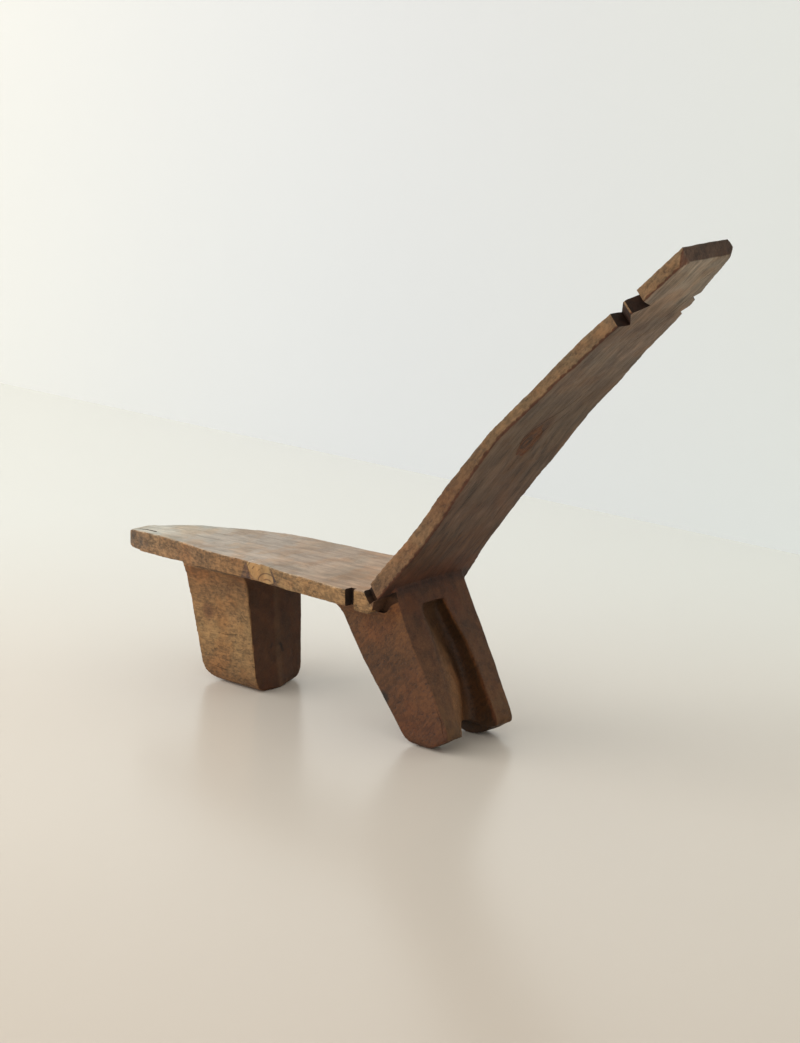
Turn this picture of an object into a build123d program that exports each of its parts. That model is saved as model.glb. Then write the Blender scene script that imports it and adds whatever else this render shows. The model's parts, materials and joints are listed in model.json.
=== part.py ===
from build123d import *
from math import cos, radians, sin, tan
import os

# African birthing chair, in millimetres: a long pointed seat plank, a raked backrest that rises from its
# rear end, one block leg under the front, and one forked leg with two feet under the rear.
# X is the width, Y runs from the nose of the seat (-Y) to the crest of the backrest (+Y), and Z is up.
# It is drawn with Y = 0 at the crook, where the seat's top meets the backrest's front, and with the floor
# at Z = 0. At the end it is moved along Y, so that the origin lies under the middle of its footprint.

# ---- driving dimensions: seat plank -------------------------------------------------------------------
crook_height = 190.0            # floor to the seat's top at the crook
seat_length = 501.0             # nose to crook
seat_rise = 2.55                # degrees that the flat underside climbs towards the rear
seat_nose_thickness = 23.0
seat_middle_thickness = 24.5
seat_rear_thickness = 21.0
seat_tip_half_width = 14.0      # where the nose starts to round over
seat_nose_half_width = 26.0     # just behind the rounded nose
seat_nose_lean = 20.0           # how far the nose leans over to the right
seat_neck_half_width = 44.0
seat_swell_half_width = 63.0
seat_middle_half_width = 72.0
seat_hip_half_width = 78.0
seat_rear_half_width = 87.0

# ---- backrest -----------------------------------------------------------------------------------------
backrest_lower_slope = 50.0     # degrees above level, from the crook to the bend
backrest_upper_slope = 41.8     # degrees above level, from the bend to the crest
backrest_lower_length = 306.0   # crook to bend, along the front
backrest_upper_length = 353.5   # bend to crest, along the front
backrest_bend_radius = 1100.0
backrest_foot_thickness = 20.5
backrest_bend_thickness = 14.0
backrest_crest_thickness = 16.0
backrest_foot_half_width = 80.0
backrest_waist_half_width = 66.5
backrest_belly_half_width = 75.0
backrest_shoulder_half_width = 53.5
backrest_crest_half_width = 38.0
backrest_crest_lean = 6.0       # how far the crest leans over to the right
crest_corner_radius = 12.0

# ---- notches in the side edges ------------------------------------------------------------------------
seat_notch_from_crook = 30.5    # to the middle of the square notch in the seat
seat_notch_width = 15.7
seat_notch_depth = 12.0
crook_notch_offset = 3.3        # middle of the crook's notch, from the mitre towards the backrest
crook_notch_width = 16.4
crook_notch_depth = 12.0
crest_notch_start = 528.0       # crook to the lower lip of the notches, along the backrest's chord
lower_crest_notch_width = 20.0
lower_crest_notch_depth = 11.0
lower_crest_notch_apex = 7.0    # lower lip to the deepest point
crest_tooth_width = 10.0        # the tooth between the two notches
upper_crest_notch_width = 17.0
upper_crest_notch_depth = 16.0
upper_crest_notch_apex = 12.0

# ---- legs ---------------------------------------------------------------------------------------------
front_leg_top_from_crook = 314.0    # to the middle of the leg's top
front_leg_top_depth = 119.0         # along Y
front_leg_top_half_width = 48.0
front_leg_sole_from_crook = 294.0   # to the middle of the sole
front_leg_sole_depth = 95.0
front_leg_sole_half_width = 43.0
front_leg_sole_rounding = 13.0

rear_leg_half_width = 58.0
rear_leg_toe_slope = 51.4       # degrees above level of the front edge
rear_leg_heel_slope = 62.9      # degrees above level of the rear edge
rear_leg_toe = 34.3             # crook to the front end of the sole, along Y
rear_leg_toe_height = 15.2
rear_leg_heel = 114.0           # crook to the rear end of the sole, along Y
rear_leg_heel_height = 18.0
rear_leg_flat_start = 55.0      # the flat that stands on the floor, along Y from the crook
rear_leg_flat_end = 71.0
rear_foot_side_rounding = 8.0
arch_half_width = 31.0          # the arch between the two rear feet
arch_rise = 24.0

fork_top_height = 170.0         # where the hollow in the rear leg's back begins
fork_top_half_width = 22.0
fork_top_floor_half_width = 11.0
fork_top_depth = 20.0
fork_sole_half_width = 36.0
fork_sole_floor_half_width = 13.0
fork_sole_depth = 44.0

# ---- joints -------------------------------------------------------------------------------------------
tenon_height = 12.0
tenon_clearance = 0.2           # all round each tenon
tenon_end_gap = 0.5             # above each tenon
front_tenon_depth = 60.0        # along Y
front_tenon_half_width = 22.0
rear_tenon_from_crook = 42.0    # to its middle
rear_tenon_depth = 44.0
rear_tenon_half_width = 34.0
wedge_height = 10.0             # foxtail wedges, driven home by the mortise's floor
wedge_thickness = 2.6
wedge_point = 0.6
front_wedge_spacing = 30.0
rear_wedge_spacing = 22.0

mitre_slope = 53.1              # degrees below level of the plane where seat and backrest meet
mitre_dowel_count = 4
mitre_dowel_spacing = 34.0
mitre_dowel_diameter = 6.0
mitre_dowel_length = 24.0
mitre_dowel_depth = 10.5        # crook to the dowels' axes, down the mitre
heel_peg_from_middle = 34.0     # along X
heel_peg_up_backrest = 5.0      # along the backrest's rear face, from its foot
heel_peg_diameter = 6.0
heel_peg_length = 20.0
dowel_clearance = 0.1           # between a dowel or peg and its hole
dowel_end_gap = 0.4             # beyond each of its ends

# ---- encased knots ------------------------------------------------------------------------------------
seat_knot_from_crook = 205.0
seat_knot_half_length = 22.0
seat_knot_half_height = 7.5
seat_knot_depth = 20.0
backrest_knot_up = 272.0        # crook to the knot's middle, along the backrest's lower run
backrest_knot_off_middle = 4.0
backrest_knot_half_length = 19.0
backrest_knot_half_width = 15.0
backrest_knot_depth = 9.0
knot_clearance = 0.15           # the bark gap round a knot

# ---- places worked out from them ----------------------------------------------------------------------
reach = seat_length + backrest_lower_length + backrest_upper_length     # longer than any cut
crook = (0.0, crook_height)


def along(start, slope, distance):
    """The point (y, z) that lies at a distance from start, on a line of that slope in degrees."""
    return (start[0] + distance * cos(radians(slope)), start[1] + distance * sin(radians(slope)))


def underside(y):
    """Height of the seat's flat underside at a place along Y."""
    return crook_height - seat_rear_thickness + y * tan(radians(seat_rise))


def heel_line(z):
    """Place along Y of the rear leg's rear edge at a height."""
    return rear_leg_heel - (z - rear_leg_heel_height) / tan(radians(rear_leg_heel_slope))


bend_front = along(crook, backrest_lower_slope, backrest_lower_length)
crest_front = along(bend_front, backrest_upper_slope, backrest_upper_length)
foot_rear = along(crook, backrest_lower_slope - 90, backrest_foot_thickness)
bend_slope = (backrest_lower_slope + backrest_upper_slope) / 2
bend_rear = along(bend_front, bend_slope - 90, backrest_bend_thickness)
crest_rear = along(crest_front, backrest_upper_slope - 90, backrest_crest_thickness)

# The chord joins the crook to the crest along the backrest's front.
chord_plane = Plane(
    origin=(0, 0, crook_height),
    x_dir=(1, 0, 0),
    z_dir=(0, crook_height - crest_front[1], crest_front[0]),
)
chord_length = (Vector(*crest_front) - Vector(*crook)).length

seat_up = (0, -sin(radians(seat_rise)), cos(radians(seat_rise)))        # square to the seat's underside
mitre_normal = (0, sin(radians(mitre_slope)), cos(radians(mitre_slope)))


# ---- helpers ------------------------------------------------------------------------------------------
def across(side_view, half_width):
    """A solid from -half_width to +half_width along X, from its side view of (y, z) points or edges."""
    if isinstance(side_view, list):
        side_view = Polyline(*side_view, close=True)
    return extrude(Plane.YZ * make_face(side_view), amount=half_width, both=True)


def carve(body, cutters):
    """The body with every cutter taken away from it."""
    for cutter in cutters:
        body = body - cutter
    return body


def mirrored(solid):
    """A solid and its mirror image on the other side of the chair."""
    return [solid, mirror(solid, about=Plane.YZ)]


def group(solids):
    """Separate solids that share one node."""
    return Compound(solids)


def behind_mitre():
    """All the space on the backrest's side of the mitre plane."""
    plane = Plane(origin=(0, *crook), x_dir=(1, 0, 0), z_dir=mitre_normal)
    return extrude(plane * Rectangle(reach, reach), amount=reach)


# ---- seat plank ---------------------------------------------------------------------------------------
def seat_plan():
    """The plank from above: it tapers to a blunt, leaning nose and is cut off square behind the crook."""
    stations = [
        (1.00, seat_rear_half_width, 0.0),
        (0.80, seat_hip_half_width, 0.0),
        (0.60, seat_middle_half_width, 0.0),
        (0.38, seat_swell_half_width, 0.0),
        (0.19, seat_neck_half_width, 0.0),
        (0.065, seat_nose_half_width, 0.7),
        (0.014, seat_tip_half_width, 1.0),
    ]
    right, left = [], []
    for share, half_width, lean in stations:
        y = -seat_length * (1 - share)
        right.append((seat_nose_lean * lean + half_width, y))
        left.insert(0, (seat_nose_lean * lean - half_width, y))
    tail = seat_length * 0.1
    rim = Spline(*right, (seat_nose_lean, -seat_length), *left)
    return make_face(rim + Polyline(left[-1], (left[-1][0], tail), (right[0][0], tail), right[0]))


def seat_blank():
    """The plank before anything is cut into it: flat below, slightly crowned from end to end above."""
    nose = -seat_length
    middle = -seat_length / 2
    tail = seat_rear_thickness * 2
    nose_top = (nose, underside(nose) + seat_nose_thickness)
    side_view = (
        ThreePointArc(nose_top, (middle, underside(middle) + seat_middle_thickness), crook)
        + Polyline(crook, (tail, crook_height), (tail, underside(tail)), (nose, underside(nose)), nose_top)
    )
    slab = across(side_view, reach / 4)
    return (slab & extrude(seat_plan(), amount=crook_height * 2)) - behind_mitre()


# ---- backrest -----------------------------------------------------------------------------------------
def backrest_outline():
    """The board square to its chord: a waist over the seat, a belly, then a taper to the crest."""
    stations = [
        (-0.06, backrest_foot_half_width + 5, 0.0),
        (0.00, backrest_foot_half_width, 0.0),
        (0.20, backrest_waist_half_width, 0.0),
        (0.46, backrest_belly_half_width, 0.0),
        (0.82, backrest_shoulder_half_width, 0.3),
        (1.00, backrest_crest_half_width, 1.0),
    ]
    right, left = [], []
    for share, half_width, lean in stations:
        right.append((backrest_crest_lean * lean + half_width, chord_length * share))
        left.insert(0, (backrest_crest_lean * lean - half_width, chord_length * share))
    rim = Spline(*right) + Line(right[-1], left[0]) + Spline(*left) + Line(left[-1], right[0])
    face = make_face(rim)
    return fillet(face.vertices().group_by(Axis.Y)[-1], crest_corner_radius)


def backrest_blank():
    """The bent board before anything is cut into it."""
    below = -2 * backrest_foot_thickness
    above = crest_corner_radius
    side_view = make_face(Polyline(
        along(crook, backrest_lower_slope, below),
        bend_front,
        along(crest_front, backrest_upper_slope, above),
        along(crest_rear, backrest_upper_slope, above),
        bend_rear,
        along(foot_rear, backrest_lower_slope, below),
        close=True,
    ))
    for corner, radius in (
        (bend_front, backrest_bend_radius + backrest_bend_thickness),
        (bend_rear, backrest_bend_radius),
    ):
        side_view = fillet(side_view.vertices().sort_by_distance((*corner, 0))[0], radius)
    board = extrude(Plane.YZ * side_view, amount=reach / 4, both=True)
    outline = extrude(chord_plane * backrest_outline(), amount=reach / 4, both=True)
    return board & outline & behind_mitre()


# ---- notches ------------------------------------------------------------------------------------------
def seat_notches():
    """The square notch in each side edge of the seat, just ahead of the crook."""
    inner = seat_rear_half_width - seat_notch_depth
    cut = Pos(inner + reach / 2, -seat_notch_from_crook, crook_height) * Box(reach, seat_notch_width, reach)
    return mirrored(cut)


def crook_notches():
    """The notch in each side edge where the seat meets the backrest, lying along the mitre."""
    inner = seat_rear_half_width - crook_notch_depth
    middle = Vector(0, *crook) + Vector(*mitre_normal) * crook_notch_offset
    place = Plane(origin=middle + Vector(inner + reach / 2, 0, 0), x_dir=(1, 0, 0), z_dir=mitre_normal)
    return mirrored(place * Box(reach, seat_rear_thickness * 6, crook_notch_width))


def crest_notches():
    """Two V notches in each side edge of the backrest near its crest, with a tooth between them."""
    lip = backrest_shoulder_half_width
    outside = backrest_belly_half_width * 2
    start = crest_notch_start
    cuts = []
    for width, depth, apex in (
        (lower_crest_notch_width, lower_crest_notch_depth, lower_crest_notch_apex),
        (upper_crest_notch_width, upper_crest_notch_depth, upper_crest_notch_apex),
    ):
        end = start + width
        rim = Polyline(
            (lip - depth, start + apex), (lip, start), (outside, start), (outside, end), (lip, end), close=True
        )
        cuts += mirrored(extrude(chord_plane * make_face(rim), amount=reach / 4, both=True))
        start = end + crest_tooth_width
    return cuts


# ---- legs ---------------------------------------------------------------------------------------------
def front_leg_blank():
    """The tapered block under the front, drawn up into the seat, with its sole's edges worn round."""
    top = underside(-front_leg_top_from_crook) + seat_rear_thickness / 2
    sections = []
    for height, from_crook, depth, half_width in (
        (0, front_leg_sole_from_crook, front_leg_sole_depth, front_leg_sole_half_width),
        (top, front_leg_top_from_crook, front_leg_top_depth, front_leg_top_half_width),
    ):
        sections.append(Pos(0, -from_crook, height) * Rectangle(half_width * 2, depth))
    block = loft(sections, ruled=True)
    return fillet(block.edges().group_by(Axis.Z)[0], front_leg_sole_rounding)


def rear_leg_side_view():
    """The forked leg from the side: raked front and rear edges over a rocker sole with a flat."""
    head = (seat_rear_thickness / 2 * cos(radians(mitre_slope)), crook_height - seat_rear_thickness / 2)
    toe_rise = underside(0) - rear_leg_toe_height
    toe_top = along(
        (rear_leg_toe, rear_leg_toe_height), 180 - rear_leg_toe_slope, toe_rise / sin(radians(rear_leg_toe_slope))
    )
    heel_top_height = crook_height + backrest_foot_thickness / 2
    flat_start = (rear_leg_flat_start, 0)
    flat_end = (rear_leg_flat_end, 0)
    heel = (rear_leg_heel, rear_leg_heel_height)
    toe = (rear_leg_toe, rear_leg_toe_height)
    return (
        TangentArc(flat_end, heel, tangent=(1, 0))
        + Polyline(heel, (heel_line(heel_top_height), heel_top_height), head, toe_top, toe)
        + TangentArc(flat_start, toe, tangent=(-1, 0))
        + Line(flat_start, flat_end)
    )


def rear_leg_front_view():
    """The forked leg from the front: two feet with rounded sides and the arch between them."""
    side = rear_leg_half_width
    rounding = rear_foot_side_rounding
    arch = ThreePointArc((-arch_half_width, 0), (0, arch_rise), (arch_half_width, 0))
    rim = (
        arch
        + Line((arch_half_width, 0), (side - rounding, 0))
        + RadiusArc((side - rounding, 0), (side, rounding), -rounding)
        + Polyline((side, rounding), (side, reach), (-side, reach), (-side, rounding))
        + RadiusArc((-side, rounding), (-side + rounding, 0), -rounding)
        + Line((-side + rounding, 0), (-arch_half_width, 0))
    )
    return make_face(rim)


def fork_hollow():
    """The hollow down the rear leg's back, which widens and deepens until it parts the two feet."""
    sections = []
    for height, half_width, floor_half_width, depth in (
        (-arch_rise, fork_sole_half_width, fork_sole_floor_half_width, fork_sole_depth),
        (fork_top_height, fork_top_half_width, fork_top_floor_half_width, fork_top_depth),
    ):
        mouth = heel_line(height)
        outside = mouth + rear_leg_half_width
        right = [(floor_half_width, mouth - depth), (half_width, mouth), (half_width, outside)]
        left = [(-x, y) for x, y in reversed(right)]
        sections.append(Pos(0, 0, height) * make_face(Polyline(*right, *left, close=True)))
    return loft(sections, ruled=True)


def rear_leg_blank():
    """The forked leg, drawn up into the seat and the backrest."""
    body = across(rear_leg_side_view(), rear_leg_half_width)
    front_view = extrude(Plane.XZ * rear_leg_front_view(), amount=reach, both=True)
    return (body & front_view) - fork_hollow()


# ---- joints -------------------------------------------------------------------------------------------
def tenon(from_crook, depth, half_width, clearance=0.0, end_gap=0.0):
    """A tenon, or with clearances its mortise, standing square on the seat's underside."""
    root = Plane(origin=(0, -from_crook, underside(-from_crook)), x_dir=(1, 0, 0), z_dir=seat_up)
    block = Rectangle((half_width + clearance) * 2, depth + clearance * 2)
    return extrude(root * block, amount=tenon_height + end_gap) + extrude(root * block, amount=-tenon_height / 4)


def foxtail_wedges(from_crook, half_width, spacing):
    """The two wedges in a tenon's end, whose points look down into it."""
    root = Plane(
        origin=(0, -from_crook, underside(-from_crook)),
        x_dir=(0, cos(radians(seat_rise)), sin(radians(seat_rise))),
        z_dir=(1, 0, 0),
    )
    tip = tenon_height - wedge_height
    solids = []
    for side in (-1, 1):
        rim = Polyline(
            (side * spacing / 2 - wedge_point / 2, tip),
            (side * spacing / 2 + wedge_point / 2, tip),
            (side * spacing / 2 + wedge_thickness / 2, tenon_height),
            (side * spacing / 2 - wedge_thickness / 2, tenon_height),
            close=True,
        )
        solids.append(extrude(root * make_face(rim), amount=half_width, both=True))
    return solids


def round_pegs(places, direction, diameter, length, clearance=0.0, end_gap=0.0):
    """Round pegs centred on their places, or with clearances their holes."""
    return [
        Plane(origin=place, z_dir=direction) * Cylinder(diameter / 2 + clearance, length + 2 * end_gap)
        for place in places
    ]


def mitre_dowels(clearance=0.0, end_gap=0.0):
    """The row of dowels square to the mitre, half in the seat and half in the backrest."""
    y, z = along(crook, -mitre_slope, mitre_dowel_depth)
    first = -(mitre_dowel_count - 1) / 2 * mitre_dowel_spacing
    places = [(first + index * mitre_dowel_spacing, y, z) for index in range(mitre_dowel_count)]
    return round_pegs(places, mitre_normal, mitre_dowel_diameter, mitre_dowel_length, clearance, end_gap)


def heel_pegs(clearance=0.0, end_gap=0.0):
    """The two pegs that stand in the rear leg's head, parallel to its tenon, and enter the backrest."""
    y, z = along(foot_rear, backrest_lower_slope, heel_peg_up_backrest)
    places = [(side * heel_peg_from_middle, y, z) for side in (-1, 1)]
    return round_pegs(places, seat_up, heel_peg_diameter, heel_peg_length, clearance, end_gap)


# ---- encased knots ------------------------------------------------------------------------------------
def seat_knot(clearance=0.0):
    """The knot's shape in the seat's right edge, running out past the edge."""
    y = -seat_knot_from_crook
    edge = seat_middle_half_width
    middle = Plane(
        origin=(edge - seat_knot_depth, y, underside(y) + seat_middle_thickness / 2), x_dir=(0, 1, 0), z_dir=(1, 0, 0)
    )
    oval = Ellipse(seat_knot_half_length + clearance, seat_knot_half_height + clearance)
    return extrude(middle * oval, amount=reach / 4)


def backrest_knot(clearance=0.0):
    """The knot's shape in the backrest's rear face, running out past the face."""
    y, z = along(foot_rear, backrest_lower_slope, backrest_knot_up)
    inward = (0, -sin(radians(backrest_lower_slope)), cos(radians(backrest_lower_slope)))
    middle = Plane(origin=(backrest_knot_off_middle, y, z), x_dir=(1, 0, 0), z_dir=inward)
    oval = Ellipse(backrest_knot_half_width + clearance, backrest_knot_half_length + clearance)
    return extrude(middle * oval, amount=backrest_knot_depth) + extrude(middle * oval, amount=-reach / 10)


# ---- the pieces ---------------------------------------------------------------------------------------
seat_board = seat_blank()
back_board = backrest_blank()
front_tenon = (front_leg_top_from_crook, front_tenon_depth, front_tenon_half_width)
rear_tenon = (rear_tenon_from_crook, rear_tenon_depth, rear_tenon_half_width)
front_wedges = foxtail_wedges(front_leg_top_from_crook, front_tenon_half_width, front_wedge_spacing)
rear_wedges = foxtail_wedges(rear_tenon_from_crook, rear_tenon_half_width, rear_wedge_spacing)
mitre_holes = mitre_dowels(dowel_clearance, dowel_end_gap)
heel_holes = heel_pegs(dowel_clearance, dowel_end_gap)
mortises = [tenon(*shape, tenon_clearance, tenon_end_gap) for shape in (front_tenon, rear_tenon)]

nodes = {
    "seat_plank": carve(
        seat_board, mortises + mitre_holes + seat_notches() + crook_notches() + [seat_knot(knot_clearance)]
    ),
    "backrest": carve(
        back_board, mitre_holes + heel_holes + crook_notches() + crest_notches() + [backrest_knot(knot_clearance)]
    ),
    "front_leg": carve((front_leg_blank() - seat_board) + tenon(*front_tenon), front_wedges),
    "rear_leg": carve(
        carve(rear_leg_blank(), [seat_board, back_board]) + tenon(*rear_tenon), rear_wedges + heel_holes
    ),
    "front_leg_wedges": group(front_wedges),
    "rear_leg_wedges": group(rear_wedges),
    "mitre_dowels": group(mitre_dowels()),
    "heel_pegs": group(heel_pegs()),
    "seat_edge_knot": seat_knot() & seat_board,
    "backrest_knot": backrest_knot() & back_board,
}

# ---- put the origin under the middle of the footprint and write the files -------------------------------
front_end = min(piece.bounding_box().min.Y for piece in nodes.values())
rear_end = max(piece.bounding_box().max.Y for piece in nodes.values())
to_origin = Pos(0, -(front_end + rear_end) / 2, 0)

os.makedirs("parts", exist_ok=True)
for name, piece in nodes.items():
    export_step(to_origin * piece, f"parts/{name}.step")
print(f"crook at Y = {-(front_end + rear_end) / 2:.3f} mm, overall length {rear_end - front_end:.1f} mm")
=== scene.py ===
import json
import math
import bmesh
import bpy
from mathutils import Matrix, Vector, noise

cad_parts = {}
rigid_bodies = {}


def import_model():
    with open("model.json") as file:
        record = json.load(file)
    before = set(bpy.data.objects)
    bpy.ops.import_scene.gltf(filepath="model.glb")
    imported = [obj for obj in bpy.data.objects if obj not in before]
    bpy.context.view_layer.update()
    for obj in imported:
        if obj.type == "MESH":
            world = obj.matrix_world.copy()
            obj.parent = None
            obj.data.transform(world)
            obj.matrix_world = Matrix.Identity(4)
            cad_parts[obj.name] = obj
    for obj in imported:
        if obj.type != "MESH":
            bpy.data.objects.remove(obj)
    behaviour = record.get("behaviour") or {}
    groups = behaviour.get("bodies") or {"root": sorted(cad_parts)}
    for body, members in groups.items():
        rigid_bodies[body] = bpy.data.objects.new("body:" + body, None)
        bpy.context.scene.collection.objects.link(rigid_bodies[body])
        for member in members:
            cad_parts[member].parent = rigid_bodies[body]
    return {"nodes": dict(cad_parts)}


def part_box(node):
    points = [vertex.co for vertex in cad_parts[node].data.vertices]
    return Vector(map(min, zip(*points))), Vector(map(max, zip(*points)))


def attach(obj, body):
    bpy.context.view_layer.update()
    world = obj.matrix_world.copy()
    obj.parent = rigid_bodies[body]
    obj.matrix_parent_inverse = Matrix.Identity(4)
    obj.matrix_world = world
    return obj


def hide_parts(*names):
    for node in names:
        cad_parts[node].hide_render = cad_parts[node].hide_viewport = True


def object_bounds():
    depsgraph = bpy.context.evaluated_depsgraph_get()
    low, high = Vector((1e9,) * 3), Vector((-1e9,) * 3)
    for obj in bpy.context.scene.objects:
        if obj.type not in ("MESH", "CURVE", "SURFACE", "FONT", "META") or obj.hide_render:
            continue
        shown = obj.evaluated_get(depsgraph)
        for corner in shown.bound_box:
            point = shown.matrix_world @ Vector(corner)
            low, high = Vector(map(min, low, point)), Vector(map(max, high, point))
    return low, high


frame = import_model()

# %% [markdown]
# # A carved birthing chair
# The chair is low and long. A pointed seat plank lies almost level, a thin backrest leans away from its rear
# end, one block of a leg stands under the front, and a forked leg with two feet stands under the rear.
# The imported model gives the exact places. This lesson dresses them as the real thing looks: wood that an
# adze cut and that years of hands wore round.

cad_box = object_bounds()
MM = 0.001
SEAT_RUN = 0.501  # from the nose to the crook
crook_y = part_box("seat_plank")[0][1] + SEAT_RUN  # where the seat's top meets the backrest's front
print("crook at", round(crook_y, 5), "m")


def place(x, y, z):
    """A point in metres, from millimetres across, behind the crook and above the floor."""
    return Vector((x * MM, crook_y + y * MM, z * MM))


# %% [markdown]
# ## One body first
# The real chair is cut from a single log, so its members flow into each other. Modelling each member alone
# would leave hard creases where they meet. So the members are lofted roughly and merged into one body, which
# is worn and dented as a whole and only then sawn apart along the real joint planes. A loft is a stack of
# rings with the same number of points.

# %% Lofts and curves
def new_object(name, content):
    """Puts a mesh, a lamp or a camera in the scene as an object at the origin."""
    piece = bpy.data.objects.new(name, content)
    bpy.context.scene.collection.objects.link(piece)
    return piece


def loft(name, rings):
    """A closed solid through a list of rings, each a list of points in the same order."""
    count = len(rings[0])
    points = [point for ring in rings for point in ring]
    faces = []
    for level in range(len(rings) - 1):
        low = level * count
        for index in range(count):
            after = (index + 1) % count
            faces.append((low + index, low + after, low + count + after, low + count + index))
    faces.append(tuple(reversed(range(count))))
    faces.append(tuple(range(len(points) - count, len(points))))
    mesh = bpy.data.meshes.new(name)
    mesh.from_pydata(points, [], faces)
    mesh.validate()
    work = bmesh.new()
    work.from_mesh(mesh)
    bmesh.ops.recalc_face_normals(work, faces=work.faces)
    work.to_mesh(mesh)
    work.free()
    return new_object(name, mesh)


def prism(name, outline, start, end):
    """A solid from a flat outline of (x, y, z) points, pushed from start to end along a direction."""
    return loft(name, [[point + start for point in outline], [point + end for point in outline]])


def sides_of(corners, counts):
    """Points round a closed outline of (x, y) corners, so many along each side in turn."""
    points = []
    for index, (x, y) in enumerate(corners):
        next_x, next_y = corners[(index + 1) % len(corners)]
        count = counts[index % len(counts)]
        for step in range(count):
            points.append((x + (next_x - x) * step / count, y + (next_y - y) * step / count))
    return points


def curve_through(stations, where):
    """The value at a place, from (place, value) stations, with smooth changes of slope."""
    if where <= stations[0][0]:
        return stations[0][1]
    if where >= stations[-1][0]:
        return stations[-1][1]
    for index in range(len(stations) - 1):
        (a, low), (b, high) = stations[index], stations[index + 1]
        if where <= b:
            break
    before = stations[max(index - 1, 0)]
    after = stations[min(index + 2, len(stations) - 1)]
    slope_a = (high - before[1]) / (b - before[0])
    slope_b = (after[1] - low) / (after[0] - a)
    t = (where - a) / (b - a)
    span = b - a
    return ((2 * t ** 3 - 3 * t ** 2 + 1) * low + (t ** 3 - 2 * t ** 2 + t) * span * slope_a
            + (3 * t ** 2 - 2 * t ** 3) * high + (t ** 3 - t ** 2) * span * slope_b)


# %% [markdown]
# ## The seat plank
# Seen from above the seat is a long leaf: a blunt nose that leans a little to one side, a neck, a swell and
# wide hips. Each edge gets its own list of widths, because a carver never makes both sides alike.

# %% Seat rings
seat_near = [(-501, 23), (-500, 28), (-498, 32), (-494, 35), (-488, 37), (-472, 39), (-450, 41), (-426, 43),
             (-404, 45.5), (-380, 49), (-354, 54), (-329, 59), (-306, 62.5), (-265, 65.5), (-225, 67.5),
             (-206, 69), (-182, 72), (-159, 75.5), (-139, 78), (-111, 80.5), (-80, 83), (-59, 85),
             (-42, 86.2), (-33, 86.2), (-26, 81), (-22, 80.5), (-10, 80.5), (0, 80)]
seat_far = [(-501, 20), (-500, 15), (-498, 11), (-494, 7.5), (-488, 4.5), (-478, 0), (-467, -8), (-455, -17),
            (-443, -26), (-432, -33), (-416, -38.5), (-404, -43), (-374, -52.5), (-347, -61), (-316, -68),
            (-279, -72), (-243, -73.5), (-207, -74.5), (-152, -75), (-117, -76.5), (-80, -79.5), (-40, -84),
            (-22, -83), (0, -80)]
seat_top = [(-501, 167.5), (-497, 170.5), (-488, 173.6), (-470, 175), (-447, 176.4), (-404, 177.9),
            (-345, 180.2), (-285, 182.2), (-245, 183.4), (-205, 184.5), (-161, 185.4), (-120, 186.2),
            (-80, 187), (-40, 187.6), (0, 188.5)]
seat_bottom = [(-501, 152.5), (-495, 150.4), (-471, 148.5), (-449, 148.8), (-427, 149.6), (-404, 150.9),
               (-365, 153.9), (-294, 157.8), (-233, 160), (-177, 162), (-121, 164), (-52, 166), (0, 168.2)]
CROOK_SLOPE = math.radians(53.1)  # the mitre leans down and back at this slope
SHEAR_RUN = 30  # and the rings lean with it over this length


def seat_ring(y, shear):
    """One ring across the seat, sheared along the mitre near the crook."""
    near, far = curve_through(seat_near, y), curve_through(seat_far, y)
    top, bottom = curve_through(seat_top, y), curve_through(seat_bottom, y)
    outline = sides_of([(far, top), (near, top), (near, bottom), (far, bottom)], (14, 4))
    return [place(x, y + shear * (top - z) / math.tan(CROOK_SLOPE), z) for x, z in outline]


seat_steps = [-501, -500.4, -499.4, -498, -496, -493, -489, -484, -478, -470, -460]
seat_steps += [-450 + 12 * index for index in range(35)] + [-33.5, -25, -18, -6, 0, 3]
seat_body = loft("seat body", [seat_ring(y, max(0.0, 1 + y / SHEAR_RUN)) for y in seat_steps])
print("seat rings:", len(seat_steps))

# %% [markdown]
# ## The backrest
# The backrest is a thin board in two runs, with a soft bend at the height of the sitter's waist. It is
# thinnest at the bend. The rings stand square to a line up its rear face, which starts at the heel.

# %% Backrest rings
back_slope = [(0, 49.9), (240, 49.8), (285, 49.0), (312, 46.6), (340, 44.0), (375, 43.0), (450, 42.6),
              (700, 42.8)]
back_thick = [(-20, 20.5), (0, 21), (60, 21.6), (129, 22), (168, 21.8), (189, 20.8), (210, 19.2), (231, 17.5),
              (250, 16.4), (271, 14.9), (292, 13.6), (320, 13.3), (344, 14.2), (402, 15.1), (421, 15.8),
              (438, 16.8), (456, 17.8), (494, 18.3), (520, 18.2), (548, 17.2), (575, 16.2), (670, 16.2)]
back_near = [(-20, 79), (0, 78), (30, 75.5), (57, 71), (75, 67.4), (100, 65.1), (124, 64.3), (148, 64.4),
             (180, 67.2), (197, 69.8), (236, 72.2), (264, 73.8), (290, 75.2), (306, 75.2), (328, 71.4),
             (348, 68), (365, 66.2), (385, 65), (406, 64.4), (426, 63.4), (441, 60.8), (458, 58.4),
             (480, 57.4), (495, 55.6), (513, 53.2), (528, 51.2), (575, 49.8), (596, 48.3), (620, 45.8),
             (637, 43.6), (660, 41)]
back_far = [(-20, -79), (0, -78), (30, -75), (57, -70.5), (75, -68.6), (100, -68), (139, -68.8), (177, -69.2),
            (196, -70.2), (215, -71.4), (232, -74), (270, -75.8), (307, -75.9), (327, -74.2), (348, -73.1),
            (389, -73), (411, -69), (432, -67.4), (453, -64), (474, -62.8), (514, -61.6), (546, -59),
            (571, -55), (595, -49.2), (615, -46), (635, -41.8), (660, -38)]
HEEL = (9.2, 176.8)  # (y, z) where the backrest's rear face starts
BACK_LENGTH = 644.5


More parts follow.
